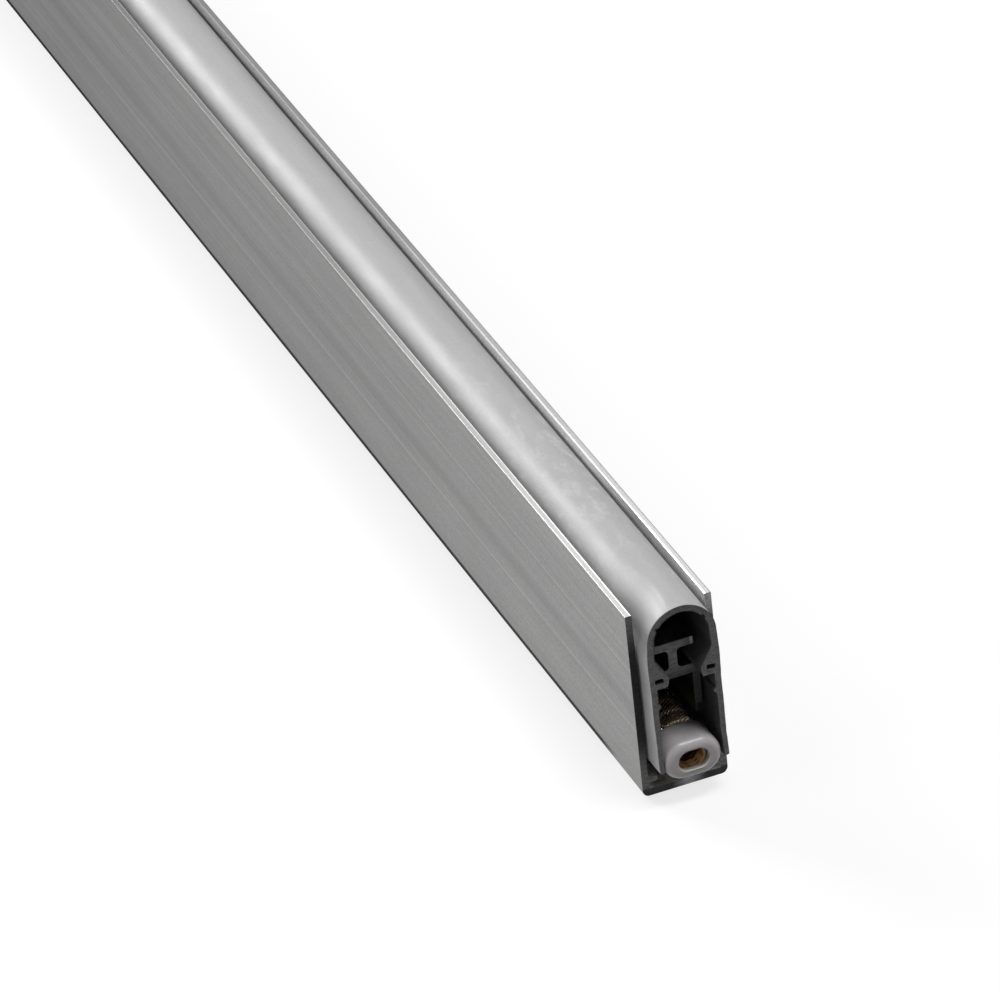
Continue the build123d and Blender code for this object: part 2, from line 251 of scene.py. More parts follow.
def straight(start, end, steps):
    """Points after start, up to and without end."""
    shares = [i / steps for i in range(1, steps)]
    return [(start[0] + (end[0] - start[0]) * s, start[1] + (end[1] - start[1]) * s) for s in shares]


def rounded(before, corner, after, radius, steps):
    """Points of a rounded corner between two straight stretches."""
    corner = Vector(corner)
    one = (Vector(before) - corner).normalized()
    two = (Vector(after) - corner).normalized()
    half = one.angle(two) / 2
    centre = corner + (one + two).normalized() * (radius / math.sin(half))
    first = corner + one * (radius / math.tan(half)) - centre
    last = corner + two * (radius / math.tan(half)) - centre
    found = []
    for i in range(steps + 1):
        way = first.lerp(last, i / steps).normalized() * radius
        found.append(tuple(centre + way))
    return found


def mirrored(half):
    """A closed outline from its right half, which runs from the middle line to the middle line."""
    return half + [(-x, z) for x, z in reversed(half) if x > 1e-7]


def inside(point, outline):
    """True if the point lies within the closed outline."""
    found = False
    for (ax, az), (bx, bz) in zip(outline, outline[1:] + outline[:1]):
        if (az > point[1]) != (bz > point[1]):
            crossing = ax + (point[1] - az) / (bz - az) * (bx - ax)
            if point[0] < crossing:
                found = not found
    return found


def seal_outline(half, tip, top):
    """Section of the rubber strip: the outside from the crown down, then back up inside.

    The last number of each arc, stretch or corner is the number of its steps.
    """
    centre = top - half
    inner = half - CROWN_WALL
    leg = half - SEAL_WALL
    tip_inner = half - SEAL_TIP_WALL
    spring_line = centre + math.sqrt(inner ** 2 - leg ** 2)

    def face(height):
        share = (height - tip) / (spring_line - tip)
        return tip_inner + share * (leg - tip_inner), height

    path = arc((0, centre), half, 90, 0, 28)
    path += straight((half, centre), (half, tip + TIP_RADIUS), 24)
    path += arc((half - TIP_RADIUS, tip + TIP_RADIUS), TIP_RADIUS, 0, -90, 5)
    path += [(tip_inner, tip)]
    path += straight((tip_inner, tip), face(NUB_HEIGHT - NUB_RADIUS), 12)
    path += arc(face(NUB_HEIGHT), NUB_RADIUS, -90, -270, 8)
    path += straight(face(NUB_HEIGHT + NUB_RADIUS), face(BARB_FLOOR), 3)
    path += [face(BARB_FLOOR)]
    heel = (BARB_TIP[0] + BARB_UNDERCUT, BARB_FLOOR)
    path += straight(face(BARB_FLOOR), heel, 4)
    path += [heel]
    path += rounded(heel, BARB_TIP, face(BARB_TOP), BARB_TIP_RADIUS, 5)
    path += straight(BARB_TIP, face(BARB_TOP), 8)[1:]
    path += [face(BARB_TOP)]
    path += straight(face(BARB_TOP), face(spring_line), 6)
    path += [face(spring_line)]
    groove = math.degrees(math.acos(GROOVE_SPREAD / inner))
    width = math.degrees(GROOVE_RADIUS / inner)
    start = math.degrees(math.acos(leg / inner))
    path += arc((0, centre), inner, start, groove - width, 3)[1:]
    groove_middle = arc((0, centre), inner, groove, groove, 1)[0]
    path += arc(groove_middle, GROOVE_RADIUS, groove - 90, groove + 90, 8)[1:-1]
    path += arc((0, centre), inner, groove + width, 90, 14)
    return mirrored(path)


def slit(side):
    """Outline of the slit in the hook on one side."""
    x, z = SLIT_MIDDLE[0] * side, SLIT_MIDDLE[1]
    half_x, half_z = SLIT_SIZE[0] / 2, SLIT_SIZE[1] / 2
    ends = [(x + half_x, z + half_z), (x - half_x, z + half_z)]
    ends += [(x - half_x, z - half_z), (x + half_x, z - half_z)]
    found = []
    for i, corner in enumerate(ends):
        found += rounded(ends[i - 1], corner, ends[(i + 1) % 4], half_z * SLIT_ROUNDING, 3)
    return found


def end_triangles(loops, spacing):
    """Triangles over an outline with holes, and the points added within it."""
    outline, holes = loops[0], loops[1:]
    edge = [p for loop in loops for p in loop]
    low_x, high_x = min(p[0] for p in outline), max(p[0] for p in outline)
    low_z, high_z = min(p[1] for p in outline), max(p[1] for p in outline)
    grid = random.Random(3)
    added = []
    for i in range(int((high_x - low_x) / spacing) + 1):
        for j in range(int((high_z - low_z) / spacing) + 1):
            x = low_x + (i + grid.uniform(-0.3, 0.3)) * spacing
            z = low_z + (j + grid.uniform(-0.3, 0.3)) * spacing
            if not inside((x, z), outline) or any(inside((x, z), h) for h in holes):
                continue
            if min((x - a) ** 2 + (z - b) ** 2 for a, b in edge) > (spacing * 0.45) ** 2:
                added.append((x, z))
    points = [Vector((x / MM, z / MM)) for x, z in edge + added]
    edges = []
    first = 0
    for loop in loops:
        count = len(loop)
        edges += [(first + i, first + (i + 1) % count) for i in range(count)]
        first += count
    _, _, faces, origins, _, _ = delaunay_2d_cdt(points, edges, [], 0, 1e-6)
    kept = []
    for face in faces:
        ids = [origins[v][0] for v in face]
        middle = sum((points[v] for v in ids), Vector((0, 0))) * (MM / len(ids))
        if inside(middle, outline) and not any(inside(middle, h) for h in holes):
            kept.append(ids)
    return kept, added


def end_places(low, high):
    """Places along a strip, close together near both ends."""
    near = [low + s * MM for s in END_STEPS]
    far = [high - s * MM for s in reversed(END_STEPS)]
    return near + far


def wave(x, z, y, low, high, crown):
    """How far a point of the strip stands out of line.

    The strip leans to one wall, its legs spread a little at both cut ends, and one shoulder is
    pinched in just behind them.
    """
    along = min(1.0, min(y - low, high - y) / WAVE_REACH)
    near = (1 - along) ** 2
    lower = max(0.0, min(1.0, (crown - z) / FLARE_HEIGHT))
    side = max(-1.0, min(1.0, x / MIDDLE_WIDTH))
    bend = noise.noise(Vector((0.8 * side, y / LEG_WAVE_LENGTH, z / LEG_WAVE_HEIGHT)))
    shoulder = max(0.0, min(1.0, (z - crown) / SHOULDER_HEIGHT + 1))
    pinch = SHOULDER_PINCH * max(0.0, -side) * shoulder * 4 * along * (1 - along)
    spread = LEG_FLARE * side * math.sin(math.pi * lower) + LEG_WAVE * bend * lower
    return SEAL_LEAN + near * spread + pinch


def within_strip(x, z, half, crown):
    """True on the faces that look into the strip."""
    if z > crown:
        return math.hypot(x, z - crown) < half - CROWN_WALL / 2
    return abs(x) < half - SEAL_TIP_WALL / 2


def cut(x, z, end, tip, crown):
    """How far along a point of the cut end is: rough, and slanting a little at the plunger."""
    grain = noise.fractal(Vector((x / CUT_GRAIN, z / CUT_GRAIN, 7.0 * end)), 1.0, 2.0, 3)
    height = min(1.0, (z - tip) / (crown - tip))
    slant = CUT_SLANT * height ** SLANT_CURVE if end < 0 else 0
    return CUT_ROUGHNESS * grain + slant


def seal_strip(body, finishes):
    """Rubber arch with hooks and slits, rough where it was cut to length."""
    low, high, _, size = box_of("seal_strip")
    crown = high.z - size.x / 2
    loops = [seal_outline(size.x / 2, low.z, high.z), slit(1), slit(-1)]
    triangles, added = end_triangles(loops, CUT_MESH)
    section = [p for loop in loops for p in loop]
    places = end_places(low.y, high.y)
    points, faces, finish_of = [], [], []
    for y in places:
        end = -1 if y == places[0] else 1 if y == places[-1] else 0
        for x, z in section:
            push = cut(x, z, end, low.z, crown) if end else 0
            points.append((x + wave(x, z, y, low.y, high.y, crown), y + push, z))
    count = len(section)
    for ring in range(len(places) - 1):
        first = 0
        for loop in loops:
            for i in range(len(loop)):
                j = (i + 1) % len(loop)
                a, b = ring * count + first + i, ring * count + first + j
                faces.append((a, b, b + count, a + count))
                x, z = (loop[i][0] + loop[j][0]) / 2, (loop[i][1] + loop[j][1]) / 2
                # Faces that look into the strip take the third finish, which is painted shade.
                finish_of.append(2 if within_strip(x, z, size.x / 2, crown) else 0)
            first += len(loop)
    for end, y, start in ((-1, places[0], 0), (1, places[-1], (len(places) - 1) * count)):
        extra = len(points)
        for x, z in added:
            push = cut(x, z, end, low.z, crown)
            points.append((x + wave(x, z, y, low.y, high.y, crown), y + push, z))
        for ids in triangles:
            faces.append([start + i if i < count else extra + i - count for i in ids])
            # The cut ends take the second finish, painted darker as painted shade.
            finish_of.append(1)
    piece = mesh_object("seal_strip_rubber", points, faces, body, finishes, finish_of)
    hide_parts("seal_strip")


def closed_rings(rings, around):
    """Faces of a ring of rings: each to the next, and the last to the first."""
    faces = []
    for r in range(rings):
        one, two = r * around, (r + 1) % rings * around
        for i in range(around):
            j = (i + 1) % around
            faces.append((one + i, one + j, two + j, two + i))
    return faces


def stadium(half_width, half_height, height):
    """Outline of a slot shape round the rod's axis, as many points as a circle has."""
    shift = max(half_width - half_height, 0)
    quarter = RING_POINTS // 2
    right = arc((shift, height), half_height, -90, 90, quarter - 1)
    left = arc((-shift, height), half_height, 90, 270, quarter - 1)
    return right + left


def plunger(body, finishes):
    """Moulded head with a rounded rim and an oval key opening."""
    low, high, middle, size = box_of("plunger")
    half, tall = size.x / 2, size.z / 2
    bore = rod_bore() + INSERT_WALL
    outlines = [(high.y, half - EDGE_BEVEL, tall - EDGE_BEVEL), (high.y - EDGE_BEVEL, half, tall)]
    outlines += [(high.y - s * (size.y - PLUNGER_RIM), half, tall) for s in (0.3, 0.6)]
    for step in range(11):
        turn = math.radians(90 * step / 10)
        inset = PLUNGER_RIM * (1 - math.cos(turn))
        outlines.append((low.y + PLUNGER_RIM * (1 - math.sin(turn)), half - inset, tall - inset))
    mouth_x, mouth_z = KEY_OPENING[0] / 2, KEY_OPENING[1] / 2
    outlines.append((low.y, (half - PLUNGER_RIM + mouth_x) / 2, (tall - PLUNGER_RIM + mouth_z) / 2))
    for step in range(7):
        turn = math.radians(90 * step / 6)
        out = KEY_OPENING_RIM * (1 - math.sin(turn))
        outlines.append((low.y + KEY_OPENING_RIM * (1 - math.cos(turn)), mouth_x + out, mouth_z + out))
    outlines += [(low.y + FACE_WALL, mouth_x, mouth_z)]
    outlines += [(low.y + FACE_WALL, bore, bore), (high.y, bore, bore)]
    points = []
    for y, half_width, half_height in outlines:
        points += [(x, y, z) for x, z in stadium(half_width, half_height, middle.z)]
    faces = closed_rings(len(outlines), RING_POINTS)
    # Painted highlight: the rim round the key opening takes a pale yellow-green finish, standing in
    # for the light that its bevel catches.
    highlight_end = (len(outlines) - 4) * RING_POINTS
    highlight_start = highlight_end - 3 * RING_POINTS
    finish_of = [1 if highlight_start <= i < highlight_end else 0 for i in range(len(faces))]
    piece = mesh_object("plunger_head", points, faces, body, finishes, finish_of, sharp=50)
    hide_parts("plunger")


def rod_bore():
    """Radius of the bore in the brass barrel, halfway up its thread."""
    return ROD_RADIUS + THREAD_GAP


def saw(value):
    """A wave that runs straight up from 0 to 1 and down again."""
    return 1 - abs(2 * (value % 1) - 1)


def thread(turn, y, share=1.0):
    """Radius of the rod's thread; the barrel's runs beside it, so the two stay in mesh."""
    return THREAD_ROOT + THREAD_DEPTH * share * saw(turn / (2 * math.pi) + y / THREAD_PITCH)


def ring(radius_of, y, height, count):
    """One ring of points round the rod's axis, with a radius for each angle."""
    found = []
    for i in range(count):
        turn = 2 * math.pi * i / count
        radius = radius_of(turn)
        found.append((radius * math.cos(turn), y, height + radius * math.sin(turn)))
    return found


def plunger_insert(body, finish):
    """Brass barrel: plain in the head, knurled behind it, with a thread in its bore."""
    low, high, middle, size = box_of("plunger_insert")
    head_high = box_of("plunger")[1]
    outside = rod_bore() + INSERT_WALL
    knurl = size.x / 2
    knurl_pitch = 2 * math.pi * knurl / KNURL_TEETH

    def knurled(y, depth):
        def radius(turn):
            one = saw(turn / (2 * math.pi) * KNURL_TEETH + (y - low.y) / knurl_pitch)
            two = saw(turn / (2 * math.pi) * KNURL_TEETH - (y - low.y) / knurl_pitch)
            crest = min(1.0, min(one, two) / KNURL_CREST)
            return knurl - depth * (1 - crest)
        return radius

    def threaded(y):
        return lambda turn: thread(turn, y) + THREAD_GAP

    def add(radius_of, y):
        rings.append(ring(radius_of, y, middle.z, BARREL_POINTS))

    rings = []
    outer_front = head_high.y + HEAD_GAP
    add(lambda turn: outside - EDGE_BEVEL, low.y)
    add(lambda turn: outside, low.y + EDGE_BEVEL)
    add(lambda turn: outside, outer_front)
    steps = int((high.y - outer_front) / KNURL_STEP)
    for step in range(steps + 1):
        y = outer_front + (high.y - outer_front) * step / steps
        edge = min(y - outer_front, high.y - y) / KNURL_BEVEL_LENGTH
        bevel = max(0.0, 1 - edge) * KNURL_BEVEL_DEPTH
        base = knurled(y, KNURL_DEPTH)
        add(lambda turn: base(turn) - bevel, y)
    add(lambda turn: THREAD_ROOT + THREAD_DEPTH + THREAD_GAP, high.y)
    steps = int(size.y / (THREAD_PITCH / RINGS_PER_PITCH))
    for step in range(steps + 1):
        y = high.y - size.y * step / steps
        add(threaded(y), y)
    points = [p for r in rings for p in r]
    faces = closed_rings(len(rings), BARREL_POINTS)
    piece = mesh_object("plunger_insert_brass", points, faces, body, [finish], sharp=60)
    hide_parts("plunger_insert")


def push_rod(body, finish):
    """Adjusting rod: hex socket and thread in front, spring flange, neck and hook collar."""
    low, high, middle, _ = box_of("push_rod")
    flange_back = box_of("return_spring")[0].y
    flange_front = flange_back - FLANGE_THICKNESS
    thread_end = flange_front - THREAD_RELIEF
    collar_front = high.y - COLLAR_THICKNESS
    neck_front = collar_front - NECK_LENGTH
    socket = SOCKET_WIDTH / 2

    def hexagon(turn):
        return socket / math.cos((turn + math.pi / 6) % (math.pi / 3) - math.pi / 6)

    def threaded(y):
        runout = max(0.0, (thread_end - y) / THREAD_RUNOUT)
        fade = min(1.0, (y - low.y) / THREAD_START, runout)
        return lambda turn: thread(turn, y, fade)

    def add(radius_of, y):
        rings.append(ring(radius_of, y, middle.z, ROD_POINTS))

    def plain(radius, y):
        add(lambda turn: radius, y)

    rings = []
    plain(CENTRE_RADIUS, low.y + SOCKET_DEPTH + SOCKET_CONE)
    add(hexagon, low.y + SOCKET_DEPTH)
    add(hexagon, low.y + EDGE_BEVEL)
    add(lambda turn: hexagon(turn) + EDGE_BEVEL * 0.6, low.y)
    plain(THREAD_ROOT - EDGE_BEVEL, low.y)
    steps = int((thread_end - low.y) / (THREAD_PITCH / RINGS_PER_PITCH))
    for step in range(1, steps + 1):
        y = low.y + (thread_end - low.y) * step / steps
        add(threaded(y), y)
    profile = [(thread_end + 2 * EDGE_BEVEL, ROD_RADIUS), (flange_front, ROD_RADIUS)]
    profile += collar(flange_front, flange_back, FLANGE_RADIUS)
    profile += [(flange_back, ROD_RADIUS), (neck_front - EDGE_BEVEL, ROD_RADIUS)]
    profile += [(neck_front, ROD_RADIUS - EDGE_BEVEL)]
    profile += [(neck_front, NECK_RADIUS), (collar_front, NECK_RADIUS)]
    profile += collar(collar_front, high.y, COLLAR_RADIUS)
    for y, radius in profile:
        plain(radius, y)
    plain(CENTRE_RADIUS, high.y)
    points = [p for r in rings for p in r]
    last_ring = (len(rings) - 1) * ROD_POINTS
    faces = closed_rings(len(rings), ROD_POINTS)[:last_ring]
    faces.append(list(range(ROD_POINTS)))
    faces.append(list(range(last_ring, last_ring + ROD_POINTS)))
    piece = mesh_object("push_rod_turned", points, faces, body, [finish], sharp=40)
    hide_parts("push_rod")


def collar(start, end, radius):
    """Profile of a bevelled disc on the rod."""
    return [(start, radius - EDGE_BEVEL), (start + EDGE_BEVEL, radius),
            (end - EDGE_BEVEL, radius), (end, radius - EDGE_BEVEL)]


def return_spring(body, finish):
    """Round wire coil with closed ends, built at its length at rest; the real spring shortens as the
    plunger is pressed.
    """
    low, high, middle, size = box_of("return_spring")
    around = WIRE_POINTS
    coil = size.x / 2 - SPRING_WIRE / 2
    wire = SPRING_WIRE / 2
    steps = SPRING_TURNS * COIL_POINTS
    first, last = low.y + wire, high.y - wire
    line = []
    for i in range(steps + 1):
        turns = SPRING_TURNS * i / steps
        if turns < 1:
            y = first + END_COIL_PITCH * turns
        elif turns > SPRING_TURNS - 1:
            y = last - END_COIL_PITCH * (SPRING_TURNS - turns)
        else:
            share = (turns - 1) / (SPRING_TURNS - 2)
            y = first + END_COIL_PITCH + share * (last - first - 2 * END_COIL_PITCH)
        turn = 2 * math.pi * turns
        line.append(Vector((coil * math.cos(turn), y, middle.z + coil * math.sin(turn))))
    points, faces = [], []
    for i, place in enumerate(line):
        ahead = (line[min(i + 1, steps)] - line[max(i - 1, 0)]).normalized()
        out = Vector((place.x, 0, place.z - middle.z)).normalized()
        out = (out - ahead * out.dot(ahead)).normalized()
        side = ahead.cross(out)
        for k in range(around):
            turn = 2 * math.pi * k / around
            points.append(place + (out * math.cos(turn) + side * math.sin(turn)) * wire)
    for i in range(steps):
        for k in range(around):
            a, b = i * around + k, i * around + (k + 1) % around
            faces.append((a, b, b + around, a + around))
    faces.append(list(range(around)))
    faces.append(list(range(steps * around, (steps + 1) * around)))
    piece = mesh_object("return_spring_coil", points, faces, body, [finish], sharp=60)
    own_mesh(piece)
    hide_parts("return_spring")


class Finish:
    """A node material round one Principled shader."""

    def __init__(self, name, **sockets):
        self.material = bpy.data.materials.new(name)
        self.material.use_nodes = True
        self.tree = self.material.node_tree
        self.shader = self.tree.nodes["Principled BSDF"]
        self.place = self.node("ShaderNodeTexCoord").outputs["Object"]
        self.split = self.node("ShaderNodeSeparateXYZ", Vector=self.place)
        self.x, self.y, self.z = self.split.outputs[:3]
        for socket, value in sockets.items():
            self.shader.inputs[socket.replace("_", " ")].default_value = value

    def node(self, kind, settings=None, **sockets):
        """A node with its settings, and with values or links on its sockets."""
        made = self.tree.nodes.new(kind)
        for key, value in (settings or {}).items():
            setattr(made, key, value)
        for key, value in sockets.items():
            self.feed(made.inputs[key.replace("_", " ")], value)
        return made

    def feed(self, socket, value):
        if isinstance(value, bpy.types.NodeSocket):
            self.tree.links.new(value, socket)
        else:
            socket.default_value = value

    def put(self, socket, value):
        """A value or link on a socket of the shader."""
        self.feed(self.shader.inputs[socket], value)

    def times(self, first, *others):
        """The product of all the values."""
        for value in others:
            first = self.math("MULTIPLY", first, value)
        return first

    def math(self, operation, *values):
        made = self.node("ShaderNodeMath", {"operation": operation})
        for socket, value in zip(made.inputs, values):
            self.feed(socket, value)
        return made.outputs[0]

    def noise(self, size, stretch=(1, 1, 1), detail=3.0, roughness=0.55):
        """Noise from 0 to 1 whose features are about as large as size times stretch."""
        scale = Vector([1 / (size * s) for s in stretch])
        place = self.node("ShaderNodeVectorMath", {"operation": "MULTIPLY"})
        self.feed(place.inputs[0], self.place)
        place.inputs[1].default_value = scale
        made = self.node("ShaderNodeTexNoise", Vector=place.outputs[0], Scale=1.0,
                         Detail=detail, Roughness=roughness)
        return made.outputs["Fac"]

    def span(self, value, low, high, to_low=0.0, to_high=1.0, smooth=False):
        """A value moved from one span to another and held within it."""
        kind = {"interpolation_type": "SMOOTHSTEP"} if smooth else {}
        made = self.node("ShaderNodeMapRange", kind, Value=value, From_Min=low, From_Max=high,
                         To_Min=to_low, To_Max=to_high)
        return made.outputs["Result"]

    def line(self, value, place, width):
        """1 where the value is at a place, falling to 0 at the given distance from it."""
        away = self.math("ABSOLUTE", self.math("SUBTRACT", value, place))
        return self.span(away, 0, width, 1, 0, smooth=True)

    def mix(self, share, one, two):
        """One colour changing to another with the share."""
        made = self.node("ShaderNodeMix", {"data_type": "RGBA"})
        self.feed(made.inputs[0], share)
        self.feed(made.inputs[6], one)
        self.feed(made.inputs[7], two)
        return made.outputs[2]

    def shade(self, colour, amount):
        """A colour times an amount."""
        made = self.node("ShaderNodeVectorMath", {"operation": "SCALE"})
        self.feed(made.inputs[0], colour[:3])
        self.feed(made.inputs["Scale"], amount)
        return made.outputs[0]

    def bump(self, *layers):
        """Bumps of the given heights in metres, one on top of the other."""
        normal = None
        for height, value in layers:
            made = self.node("ShaderNodeBump", Height=value, Distance=height)
            if normal:
                self.feed(made.inputs["Normal"], normal)
            normal = made.outputs["Normal"]
        self.feed(self.shader.inputs["Normal"], normal)


def grey(level):
    """A plain grey."""
    return (level, level, level, 1)


def wall_tone(finish, grain, height, low, high):
    """Tone of an extruded wall: lined along its length and handled, with painted shade that darkens it
    away from the plunger and a painted highlight on its lips that fades away from the plunger.
    """
    fine, broad, speckle = grain
    handled = finish.noise(9 * MM, (1, 2.5, 1), detail=3)
    tone = finish.times(finish.span(fine, 0.2, 0.8, 0.86, 1.14),
                        finish.span(broad, 0.2, 0.8, 0.92, 1.08),
                        finish.span(handled, 0.25, 0.75, 0.93, 1.05),
                        finish.span(speckle, 0.3, 0.7, 0.88, 1.12))
    for place, width, gain in DIE_LINES:
        glow = finish.times(finish.line(height, place * MM, width * MM), gain)
        tone = finish.times(tone, finish.math("ADD", glow, 1.0))
    # Painted shade: the wall darkens along its length away from the plunger, standing in for the light
    # falling off.
    distance = finish.span(finish.y, low.y + 40 * MM, low.y + 250 * MM, 1.04, 0.54)
    # Painted highlight: the lips are lighter near the plunger and darker further along.
    lip = finish.span(finish.z, high.z - 0.16 * MM, high.z - 0.1 * MM)
    lip_highlight_fade = finish.span(finish.y, low.y + 20 * MM, low.y + 120 * MM, 0.5, -0.25)
    return finish.times(tone, distance, finish.math("ADD", 1.0, finish.times(lip, lip_highlight_fade)))


def bare_metal(finish, inward, height, low, high):
    """Where the metal is bare, and the tone of where it isn't.

    It is dull and painted darker at its foot and on the outer edge of one lip, as painted shade that
    stands in for a dark reflection there, and dull high up inside the walls away from the plunger,
    where its pale colour is lit as painted light.
    """
    foot = finish.span(height, low.z + 1.35 * MM, low.z + 1.75 * MM, smooth=True)
    clean = finish.span(finish.y, low.y + 8 * MM, low.y + 16 * MM, 1, 0, smooth=True)
    rim = finish.times(finish.span(finish.x, high.x - 0.16 * MM, high.x - 0.08 * MM),
                       finish.span(finish.z, high.z - 0.2 * MM, high.z - 0.1 * MM))
    # Painted light: high up inside the walls, away from the plunger, the metal is made dull so that
    # its pale inner colour is lit as a painted reflection of the rubber.
    brow = finish.times(inward,
                        finish.span(finish.z, high.z - 2.5 * MM, high.z - 1.2 * MM),
                        finish.span(finish.y, low.y + 8 * MM, low.y + 40 * MM))
    bare = finish.times(finish.math("MAXIMUM", foot, clean),
                        finish.math("SUBTRACT", 1.0, rim),
                        finish.math("SUBTRACT", 1.0, brow))
    # Painted shade: the foot and the outer edge of one lip are darkened.
    grime_and_painted_shade = finish.span(finish.math("MAXIMUM", bare, brow), 0, 1, FOOT_PAINTED_SHADE, 1)
    return bare, finish.times(grime_and_painted_shade, finish.span(rim, 0, 1, 1, 0.4))


def sawn_end(finish, colour, lights, low, high):
    """Colour of a sawn end: scored, dark as painted shade, with bands of painted light, lighter across
    the middle of its web and darker at its sides.
    """
    scores = finish.noise(0.25 * MM, (6, 1, 1), detail=2)
    # Painted light: bands across the end, and the top of the far wall's end, are lightened where light
    # falls on them.
    painted_light = 0.0
    for place, width in lights:
        painted_light = finish.math("MAXIMUM", painted_light, finish.line(finish.z, place * MM, width * MM))
    far_wall = finish.times(finish.span(finish.x, high.x - 1.1 * MM, high.x - 1.0 * MM),
                            finish.span(finish.z, high.z - 4 * MM, high.z - 2 * MM))
    painted_light = finish.math("ADD", painted_light, finish.times(far_wall, 2.0))
    from_middle = finish.math("ABSOLUTE", finish.math("SUBTRACT", finish.x, 0.6 * MM))
    across_web = finish.span(from_middle, 0.5 * MM, 2.6 * MM, 1.3, -0.6)
    at_web = finish.span(finish.z, low.z + 1.1 * MM, low.z + 1.4 * MM, 1, 0)
    tone = finish.times(finish.span(scores, 0.25, 0.75, 0.6, 1.5),
                        finish.span(painted_light, 0, 3, 0.55, 5.0),
                        finish.math("ADD", 1.0, finish.times(across_web, at_web)))
    return finish.shade(colour, tone)


def extruded_aluminium(name, colour, inner_painted_light_colour, end_colour, end_painted_light, low, high):
    """Mill finish with fine lines along the extrusion, paler inner faces as painted light, painted
    shade on its foot, and dull sawn ends that are painted dark as painted shade, with bands of painted
    light.
    """
    finish = Finish(name, Specular_IOR_Level=0.0)
    fine = finish.noise(0.16 * MM, (1, 220, 1), detail=2)
    broad = finish.noise(1.3 * MM, (1, 90, 1), detail=3)
    speckle = finish.noise(0.3 * MM, (1, 1.6, 1), detail=2)
    wobble = finish.span(finish.noise(6 * MM, (1, 4, 1)), 0, 1, -0.12 * MM, 0.12 * MM)
    height = finish.math("ADD", finish.z, wobble)
    aside = finish.math("ABSOLUTE", finish.x)
    inward = finish.span(aside, high.x - 0.9 * MM, high.x - 0.7 * MM, 1, 0)
    bare, grime_and_painted_shade = bare_metal(finish, inward, height, low, high)
    tone = finish.times(wall_tone(finish, (fine, broad, speckle), height, low, high), grime_and_painted_shade)
    # Painted light: the inner faces take a much paler copy of the wall's colour, standing in for the
    # lit rubber that they reflect.
    walls = finish.mix(inward, finish.shade(colour, tone), finish.shade(inner_painted_light_colour, tone))
    along = finish.math("ABSOLUTE", finish.y)
    at_end = finish.span(along, high.y - 0.03 * MM, high.y - 0.01 * MM)
    # Painted shade: the sawn ends take a very dark colour, with bands of painted light.
    end = sawn_end(finish, end_colour, end_painted_light, low, high)
    rough = finish.span(broad, 0.25, 0.75, 0.36, 0.5)
    finish.put("Base Color", finish.mix(at_end, walls, end))
    finish.put("Metallic", bare)
    finish.put("Roughness", finish.math("ADD", rough, finish.times(at_end, 0.25)))
    finish.bump((3.0e-6, fine), (1.6e-5, broad), (6.0e-6, speckle))
    return finish.material


def seal_rubber(low, high):
    """Satin grey rubber, streaked and mottled, with pale scuffs on its crown near the plunger, and
    painted shade that darkens it away from the plunger.
    """
    finish = Finish("grey_rubber", Specular_IOR_Level=0.5)
    speckle = finish.noise(0.2 * MM, (1, 1.6, 1), detail=3)
    mottle = finish.noise(3.2 * MM, (1, 2.5, 1), detail=4)
    streak = finish.noise(0.5 * MM, (1, 60, 1), detail=2)
    sag = finish.noise(6 * MM, (1, 3, 1), detail=2)
    # Painted shade: the last factor darkens the rubber along its length away from the plunger.
    tone = finish.times(finish.span(speckle, 0.25, 0.75, 0.93, 1.07),
                        finish.span(mottle, 0.25, 0.75, 0.92, 1.07),
                        finish.span(streak, 0.25, 0.75, 0.97, 1.03),
                        finish.span(finish.y, low.y, low.y + 250 * MM, 1.04, 0.84))
    smear = finish.noise(2.0 * MM, (1, 2.2, 1), detail=5, roughness=0.65)
    scuff = finish.times(finish.span(smear, 0.50, 0.66),
                         finish.line(finish.y, low.y + 45 * MM, 55 * MM),
                         finish.span(finish.z, high.z - 4 * MM, high.z - 1.5 * MM),
                         0.5)
    rough = finish.span(mottle, 0.25, 0.75, 0.40, 0.52)
    finish.put("Base Color", finish.mix(scuff, finish.shade(grey(0.365), tone), grey(0.62)))
    finish.put("Roughness", finish.math("ADD", rough, finish.times(scuff, 0.2)))
    finish.bump((2.0e-4, sag), (5.0e-6, streak), (1.0e-5, speckle))
    return finish.material


def shaded_inner_rubber():
    """Inside of the strip, dull and painted dark as painted shade."""
    finish = Finish("shaded_inner_rubber", Specular_IOR_Level=0.3)
    speckle = finish.noise(0.3 * MM, (1, 6, 1), detail=3)
    finish.put("Base Color", finish.shade(grey(0.05), finish.span(speckle, 0.25, 0.75, 0.8, 1.2)))
    finish.put("Roughness", finish.span(speckle, 0.25, 0.75, 0.55, 0.7))
    finish.bump((1.0e-5, speckle))
    return finish.material


def cut_rubber():
    """Cut end of the rubber, coarse, and painted darker as painted shade."""
    finish = Finish("cut_rubber", Roughness=0.75, Specular_IOR_Level=0.35)
    coarse = finish.noise(0.35 * MM, detail=4, roughness=0.7)
    finish.put("Base Color", finish.mix(finish.span(coarse, 0.3, 0.7), grey(0.10), grey(0.23)))
    finish.bump((6.0e-5, coarse))
    return finish.material


def moulded_plastic(name, colour, rough, texture):
    """Moulded plastic with a fine eroded texture."""
    finish = Finish(name, Specular_IOR_Level=0.5)
    grain = finish.noise(texture, detail=3)
    cloud = finish.noise(2.5 * MM, detail=2)
    finish.put("Base Color", finish.shade(colour, finish.span(cloud, 0.3, 0.7, 0.94, 1.05)))
    finish.put("Roughness", finish.span(grain, 0.3, 0.7, rough - 0.06, rough + 0.06))
    finish.bump((6.0e-6, grain))
    return finish.material


